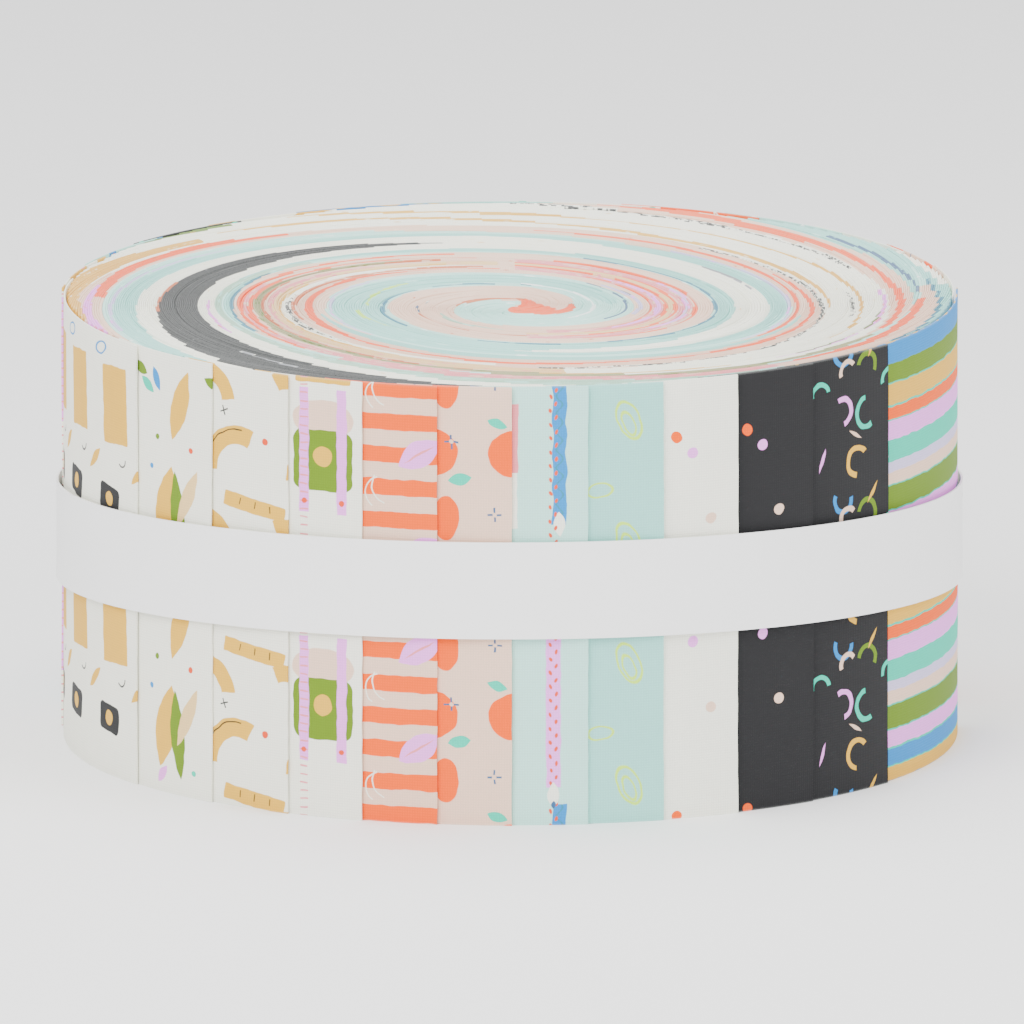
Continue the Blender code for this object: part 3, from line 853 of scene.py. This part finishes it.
designs = {
    "blocks": {
        "ground": "cream", "repeat": (13.5, 31.75),
        "shapes": [
            ("block", "gold", (9.0, 22.0), (3.6, 5.6), 3, {"Corner": 0.25}),
            ("block", "charcoal", (7.4, 8.2), (3.0, 2.0), -6, {"Corner": 0.9}),
            ("round", "gold", (7.4, 8.2), (1.1, 1.1), 0),
            ("leaf", "gold", (2.4, 13.2), (2.6, 0.7), 40),
            ("round", "blue", (4.6, 29.6), (1.9, 0.95), 12, {"Hollow": 0.74}),
            ("arc", "charcoal", (11.2, 14.4), (1.0, 0.12), 200, {"Spread": 1.3}),
        ],
    },
    "sprigs": {
        "ground": "cream", "repeat": (16.0, 31.75),
        "shapes": [
            ("leaf", "gold", (9.6, 24.6), (5.4, 1.7), 72),
            ("leaf", "gold", (6.6, 9.6), (6.2, 2.3), 78),
            ("leaf", "olive", (9.2, 8.6), (6.4, 1.5), 96),
            ("leaf", "tan", (11.2, 11.4), (4.8, 1.2), 64),
            ("leaf", "teal", (2.2, 26.6), (1.8, 0.8), -35),
            ("leaf", "blue", (4.4, 27.8), (1.8, 0.8), -65),
            ("leaf", "olive", (0.4, 28.8), (1.8, 0.8), -20),
            ("leaf", "pink", (5.8, 2.6), (1.6, 0.7), 50),
            ("round", "olive", (4.6, 19.4), (0.42, 0.42), 0),
            ("round", "blue", (3.2, 15.0), (0.42, 0.42), 0),
            ("round", "teal", (12.6, 3.6), (0.42, 0.42), 0),
            ("round", "red", (11.9, 18.4), (0.42, 0.42), 0),
        ],
    },
    "scallops": {
        "ground": "cream", "repeat": (15.0, 21.2),
        "shapes": [
            ("arc", "gold", (4.6, 6.2), (5.2, 1.35), 34, {"Spread": 1.05}),
            ("arc", "gold", (13.2, 15.6), (4.6, 1.25), -28, {"Spread": 0.95}),
            ("block", "gold", (7.4, 1.4), (5.4, 1.1), -8, {"Corner": 0.2}),
            ("arc", "charcoal", (4.6, 6.2), (6.0, 0.09), 34, {"Spread": 0.7}),
            ("star", "charcoal", (2.0, 14.6), (0.7, 0.1), 20),
            ("block", "charcoal", (5.0, 1.9), (0.08, 0.5), -8, {"Corner": 0.05}),
            ("block", "charcoal", (7.6, 1.6), (0.08, 0.5), -8, {"Corner": 0.05}),
            ("block", "charcoal", (10.2, 1.2), (0.08, 0.5), -8, {"Corner": 0.05}),
            ("round", "red", (9.4, 11.0), (0.5, 0.5), 0),
        ],
    },
    "checks": {
        "ground": "cream", "repeat": (13.0, 36.0),
        "shapes": [
            ("round", "peach", (5.4, 21.6), (4.9, 2.8), 0),
            ("block", "olive", (5.4, 15.6), (4.7, 4.4), 0, {"Corner": 1.6}),
            ("block", "gold", (5.4, 28.0), (4.4, 1.2), 0, {"Corner": 0.3}),
            ("ribbon", "pink", (2.4, 17.0), (0.75, 9.0), 0),
            ("ribbon", "pink", (8.4, 17.0), (0.75, 9.0), 0),
            ("block", "rose", (2.4, 0.0), (0.75, 0.12), 0, {"Repeat": (13.0, 1.2)}),
            ("round", "charcoal", (5.4, 33.0), (4.2, 2.3), 0, {"Hollow": 0.62}),
            ("round", "white", (2.6, 33.2), (0.42, 0.42), 0),
            ("round", "white", (4.4, 34.9), (0.42, 0.42), 0),
            ("round", "white", (6.6, 34.8), (0.42, 0.42), 0),
            ("round", "white", (8.3, 33.0), (0.42, 0.42), 0),
            ("round", "gold", (5.4, 16.2), (1.5, 1.5), 0),
            ("round", "red", (2.4, 9.6), (0.4, 0.4), 0),
            ("round", "red", (8.4, 9.6), (0.4, 0.4), 0),
        ],
    },
    "stripes": {
        "ground": "peach", "repeat": (18.0, 14.2),
        "shapes": [
            ("block", "orange", (5.0, 1.2), (30.0, 1.18), 0, {"Repeat": (18.0, 4.73), "Corner": 0.05}),
            ("leaf", "pink", (8.4, 10.9), (3.6, 1.9), 32),
            ("arc", "cream", (2.6, 5.0), (2.2, 0.09), 80, {"Spread": 1.2}),
            ("arc", "cream", (4.0, 6.0), (2.6, 0.09), 110, {"Spread": 0.9}),
            ("leaf", "rose", (8.4, 10.9), (2.6, 0.16), 32),
        ],
    },
    "rounds": {
        "ground": "peach", "repeat": (11.6, 19.0),
        "shapes": [
            ("round", "orange", (10.9, 15.8), (3.6, 3.4), 0),
            ("round", "orange", (1.2, 6.4), (1.9, 3.2), 0),
            ("leaf", "teal", (3.2, 12.0), (1.7, 0.85), 12),
            ("leaf", "teal", (8.6, 1.2), (1.5, 0.7), -18),
            ("star", "navy", (2.0, 17.4), (1.0, 0.13), 0),
            ("round", "peach", (2.0, 17.4), (0.3, 0.3), 0),
            ("star", "navy", (8.2, 7.0), (1.0, 0.13), 0),
            ("round", "peach", (8.2, 7.0), (0.3, 0.3), 0),
        ],
    },
    "ribbons": {
        "ground": "paleAqua", "repeat": (12.4, 63.5),
        "shapes": [
            ("ribbon", "blue", (6.8, 55.0), (1.0, 11.5), 0, {"Swing": 0.12, "Wave": 5.0}),
            ("ribbon", "deepBlue", (6.8, 55.0), (0.14, 11.5), 0, {"Swing": 0.45, "Wave": 2.6}),
            ("leaf", "cream", (6.8, 43.6), (1.8, 0.8), 90),
            ("ribbon", "pink", (5.9, 18.0), (1.05, 12.6), 0),
            ("round", "red", (5.5, 0.0), (0.22, 0.36), 20, {"Repeat": (12.4, 2.0)}),
            ("round", "red", (6.3, 1.0), (0.22, 0.36), -20, {"Repeat": (12.4, 2.0)}),
            ("leaf", "cream", (5.9, 4.4), (1.8, 0.85), 90),
            ("leaf", "navy", (5.9, 2.9), (0.6, 0.3), 90),
            ("ribbon", "rose", (0.3, 56.0), (0.6, 5.0), 0),
            ("ribbon", "cream", (0.3, 47.0), (0.5, 4.0), 0),
        ],
    },
    "rings": {
        "ground": "aqua", "repeat": (15.0, 17.6),
        "shapes": [
            ("round", "lime", (6.0, 5.4), (1.7, 3.2), 24, {"Hollow": 0.84}),
            ("round", "lime", (6.0, 4.9), (0.9, 2.1), 24, {"Hollow": 0.74}),
            ("round", "lime", (1.8, 13.0), (1.1, 2.0), 96, {"Hollow": 0.8}),
        ],
    },
    "sparseDots": {
        "ground": "cream", "repeat": (19.0, 27.4),
        "shapes": [
            ("round", "pink", (4.6, 25.4), (0.82, 0.82), 0),
            ("round", "peach", (7.4, 15.8), (0.82, 0.82), 0),
            ("round", "orange", (2.1, 0.4), (0.82, 0.82), 0),
            ("round", "teal", (14.2, 8.0), (0.82, 0.82), 0),
        ],
    },
    "darkDots": {
        "ground": "charcoal", "repeat": (19.0, 27.4),
        "shapes": [
            ("round", "pink", (4.4, 25.4), (0.82, 0.82), 0),
            ("round", "peach", (7.2, 15.8), (0.82, 0.82), 0),
            ("round", "orange", (1.8, 0.4), (0.82, 0.82), 0),
            ("round", "teal", (14.2, 8.0), (0.82, 0.82), 0),
        ],
    },
    "strokes": {
        "ground": "charcoal", "repeat": (15.0, 21.2),
        "shapes": [
            ("arc", "gold", (9.4, 5.4), (2.0, 0.38), 60, {"Spread": 2.0}),
            ("arc", "pink", (6.2, 13.0), (1.9, 0.38), -70, {"Spread": 1.7}),
            ("arc", "teal", (11.4, 12.2), (2.1, 0.38), 110, {"Spread": 1.8}),
            ("arc", "blue", (6.4, 0.2), (1.7, 0.36), 170, {"Spread": 1.9}),
            ("arc", "olive", (11.6, 18.8), (1.9, 0.38), -20, {"Spread": 1.7}),
            ("arc", "peach", (7.4, 18.6), (1.5, 0.36), 30, {"Spread": 1.4}),
            ("leaf", "gold", (12.8, 0.4), (1.8, 0.3), 54),
            ("leaf", "peach", (9.0, 9.3), (1.5, 0.28), -30),
            ("leaf", "pink", (2.2, 6.4), (1.8, 0.3), 70),
            ("arc", "teal", (1.8, 16.0), (1.6, 0.34), 10, {"Spread": 1.6}),
        ],
    },
    "bars": {
        "ground": "teal", "repeat": (40.0, 31.75),
        "shapes": [
            ("block", "blue", (0, 30.2), (30.0, 1.6), 0, {"Corner": 0.05}),
            ("block", "olive", (0, 27.2), (30.0, 1.4), 0, {"Corner": 0.05}),
            ("block", "gold", (0, 24.1), (30.0, 1.5), 0, {"Corner": 0.05}),
            ("block", "orange", (0, 21.4), (30.0, 0.9), 0, {"Corner": 0.05}),
            ("block", "pink", (0, 18.9), (30.0, 1.4), 0, {"Corner": 0.05}),
            ("block", "lavender", (0, 13.6), (30.0, 0.8), 0, {"Corner": 0.05}),
            ("block", "peach", (0, 12.0), (30.0, 0.9), 0, {"Corner": 0.05}),
            ("block", "olive", (0, 9.2), (30.0, 1.7), 0, {"Corner": 0.05}),
            ("block", "pink", (0, 6.1), (30.0, 1.2), 0, {"Corner": 0.05}),
            ("block", "blue", (0, 3.4), (30.0, 1.2), 0, {"Corner": 0.05}),
            ("block", "gold", (0, 1.0), (30.0, 1.0), 0, {"Corner": 0.05}),
        ],
    },
    "aquaDots": {
        "ground": "paleAqua", "repeat": (9.0, 12.0),
        "shapes": [
            ("round", "white", (2.0, 3.0), (0.6, 0.6), 0),
            ("round", "deepBlue", (6.4, 9.0), (0.5, 0.5), 0),
        ],
    },
}

# Designs of the strip ends, left to right in front, then round the back
frontOrder = (
    "sprigs", "scallops", "checks", "stripes", "rounds", "ribbons", "rings", "sparseDots",
    "darkDots", "strokes", "bars",
)
backOrder = (
    "blocks", "rounds", "sprigs", "aquaDots", "stripes", "sparseDots", "rings", "bars",
    "scallops", "darkDots", "ribbons", "checks",
)


# One face of an upright sheet, from its distance to the roll's axis
def uprightFace(level, angle, rise):
    height = np.broadcast_to(rise, level.shape)
    return np.stack([level * np.cos(angle), level * np.sin(angle), height], axis=-1)


def makeStripEnds():
    rng = random.Random(stripEnds["seed"])
    arcs = [*stripEnds["frontArcs"], stripEnds["sideArc"]]
    arcs += [stripEnds["backArc"]] * stripEnds["backStrips"]
    arcs.append(360.0 - sum(arcs))
    order = frontOrder + backOrder + ("blocks",)
    materials = {name: printedCloth(name + "Print", design) for name, design in designs.items()}
    radius, cloth, width = roll["radius"], stripEnds["cloth"], roll["width"]
    rim, freeLength = stripEnds["rim"], stripEnds["freeLength"]
    rise = np.linspace(0.0, width, stripEnds["rows"])
    rise = np.concatenate([[0.0], [rim], rise[1:-1], [width - rim], [width]])
    soften = np.zeros(len(rise))
    soften[[0, -1]] = stripEnds["softening"]
    seam = stripEnds["firstSeam"]
    for number, (arc, design) in enumerate(zip(arcs, order)):
        start = math.radians(seam)
        length = math.radians(arc) * radius
        steps = max(12, round(length / stripEnds["pace"]))
        visible = np.linspace(0.0, length, steps)
        tail = np.linspace(-stripEnds["tail"], 0.0, 7)[:-1]
        along = np.concatenate([tail, visible])
        share = along / length
        outer = radius - stripEnds["step"] * (1.0 - np.clip(share, 0.0, 1.0))
        outer -= stripEnds["tailDrop"] * np.clip(-along / stripEnds["tail"], 0.0, 1.0)
        free = np.clip((along - length + freeLength) / freeLength, 0.0, 1.0) ** 2
        phase = rng.uniform(0, math.tau)
        wave = 0.5 + 0.5 * np.sin(rise / width * rng.uniform(5.0, 9.0) + phase)
        lift = stripEnds["lift"] * free[:, None] * wave[None, :]
        ragged = np.zeros((len(along), len(rise)))
        ragged[-1] = [rng.uniform(-1.0, 1.0) * stripEnds["raggedness"] for _ in rise]
        angle = start + (along[:, None] + ragged) / radius
        front = uprightFace(outer[:, None] + lift - soften, angle, rise)
        back = uprightFace(outer[:, None] + lift - cloth + soften, angle, rise)
        rings = np.concatenate([front, back[:, ::-1]], axis=1)
        heights = np.concatenate([rise, rise[::-1]])
        name = f"strip_end_{number + 1:02d}"
        piece = sweptMesh(name, [(rings, along, heights)], materials[design])
        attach(piece, "root")
        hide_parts("strip_roll")
        seam += arc


makeStripEnds()
print("strip ends made")

band = {
    "height": 14.0 * mm,
    "middle": 29.9 * mm,            # at the sides of the roll
    "slope": 0.066,                 # it sits a little higher in front
    "clearance": 0.35 * mm,
    "paper": 0.3 * mm,
    "lapClimb": 0.4 * mm,
    "lapHalf": 8.0,                 # degrees, at the back
    "lapRamp": 15.0,
    "step": 2.0,
    "bow": 0.06 * mm,               # its edges stand off a little
    "rows": 9,
}


def paperMaterial():
    material = bpy.data.materials.new("bandPaper")
    material.use_nodes = True
    tree = material.node_tree
    shader = tree.nodes["Principled BSDF"]
    shader.inputs["Specular IOR Level"].default_value = 0.4
    uv = addNode(tree, "ShaderNodeUVMap", uv_map="cloth")
    place = calcVector(tree, "SCALE", uv.outputs[0])
    place.node.inputs["Scale"].default_value = 1.0 / mm
    fibres = grain(tree, stretched(tree, place, (1.0, 2.4, 1.0)), 1.4, 4.0)
    clouds = grain(tree, place, 0.05, 2.0)
    level = calc(tree, "MULTIPLY_ADD", fibres, 0.02, calc(tree, "MULTIPLY_ADD", clouds, 0.03, 0.965))
    shaded = calcVector(tree, "SCALE", ink("paper")[:3])
    feed(tree, shaded.node.inputs["Scale"], level)
    feed(tree, shader.inputs["Base Color"], shaded)
    feed(tree, shader.inputs["Roughness"], calc(tree, "MULTIPLY_ADD", fibres, 0.12, 0.42))
    bump = addNode(tree, "ShaderNodeBump")
    bump.inputs["Strength"].default_value = 0.15
    bump.inputs["Distance"].default_value = 0.02 * mm
    feed(tree, bump.inputs["Height"], fibres)
    feed(tree, shader.inputs["Normal"], bump.outputs[0])
    return material


def makeBand():
    whole = 360.0 + 2.0 * band["lapHalf"]
    wound = np.linspace(0.0, whole, round(whole / band["step"]) + 1)
    angle = np.radians(90.0 - band["lapHalf"] + wound)
    climb = np.clip((wound - (360.0 - band["lapRamp"])) / band["lapRamp"], 0.0, 1.0)
    inner = roll["radius"] + band["clearance"] + band["lapClimb"] * climb
    rise = np.linspace(0.0, band["height"], band["rows"])
    bow = band["bow"] * (2.0 * rise / band["height"] - 1.0) ** 2
    front = uprightFace(inner[:, None] + band["paper"] + bow, angle[:, None], rise)
    back = uprightFace(inner[:, None] + bow, angle[:, None], rise)
    rings = np.concatenate([front, back[:, ::-1]], axis=1)
    rings[..., 2] += band["middle"] - band["height"] / 2.0 - band["slope"] * rings[..., 1]
    along = np.radians(wound) * roll["radius"]
    heights = np.concatenate([rise, rise[::-1]])
    piece = sweptMesh("paper_wrap", [(rings, along, heights)], paperMaterial())
    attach(piece, "root")
    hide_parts("paper_band")


makeBand()
print("paper band made")

studio = {
    "floorSize": 3.0,
    "floorColour": (0.93, 0.93, 0.93, 1.0),
    "worldStrength": 0.75,
    "photoWidth": 145.0 * mm,       # what the photograph is wide at the roll
    "elevation": 12.0,
    "aim": (0.354 * mm, 0.0, 31.944 * mm),
    "distance": 1.2,
    "lampAim": (0.0, 0.0, 30.0 * mm),
    "lamps": (                      # name, place and size in metres, watts
        ("keyLight", (-0.35, -0.55, 0.60), 0.55, 9.0),
        ("fillLight", (0.55, -0.40, 0.35), 0.60, 4.0),
        ("topLight", (0.0, 0.15, 0.80), 0.80, 9.0),
    ),
}


def makeStudio():
    scene = bpy.context.scene
    world = scene.world or bpy.data.worlds.new("studio")
    scene.world = world
    world.use_nodes = True
    sky = world.node_tree.nodes["Background"]
    sky.inputs["Color"].default_value = (1.0, 1.0, 1.0, 1.0)
    sky.inputs["Strength"].default_value = studio["worldStrength"]

    mesh = bpy.data.meshes.new("floor")
    half = studio["floorSize"] / 2
    corners = [(-half, -half, 0), (half, -half, 0), (half, half, 0), (-half, half, 0)]
    mesh.from_pydata(corners, [], [(0, 1, 2, 3)])
    floor = bpy.data.objects.new("floor", mesh)
    scene.collection.objects.link(floor)
    material = bpy.data.materials.new("floorPaint")
    material.use_nodes = True
    shader = material.node_tree.nodes["Principled BSDF"]
    shader.inputs["Base Color"].default_value = studio["floorColour"]
    shader.inputs["Roughness"].default_value = 0.9
    mesh.materials.append(material)

    for name, place, size, power in studio["lamps"]:
        light = bpy.data.lights.new(name, "AREA")
        light.energy = power
        light.size = size
        lamp = bpy.data.objects.new(name, light)
        lamp.location = place
        towards = Vector(studio["lampAim"]) - Vector(place)
        lamp.rotation_euler = towards.to_track_quat("-Z", "Y").to_euler()
        scene.collection.objects.link(lamp)

    lens = bpy.data.cameras.new("camera")
    lens.type = "ORTHO"
    lens.ortho_scale = studio["photoWidth"]
    camera = bpy.data.objects.new("camera", lens)
    up = math.radians(studio["elevation"])
    back = Vector((0.0, -math.cos(up), math.sin(up)))
    camera.location = Vector(studio["aim"]) + back * studio["distance"]
    camera.rotation_euler = (math.pi / 2 - up, 0.0, 0.0)
    scene.collection.objects.link(camera)
    scene.camera = camera


makeStudio()
print("studio made")
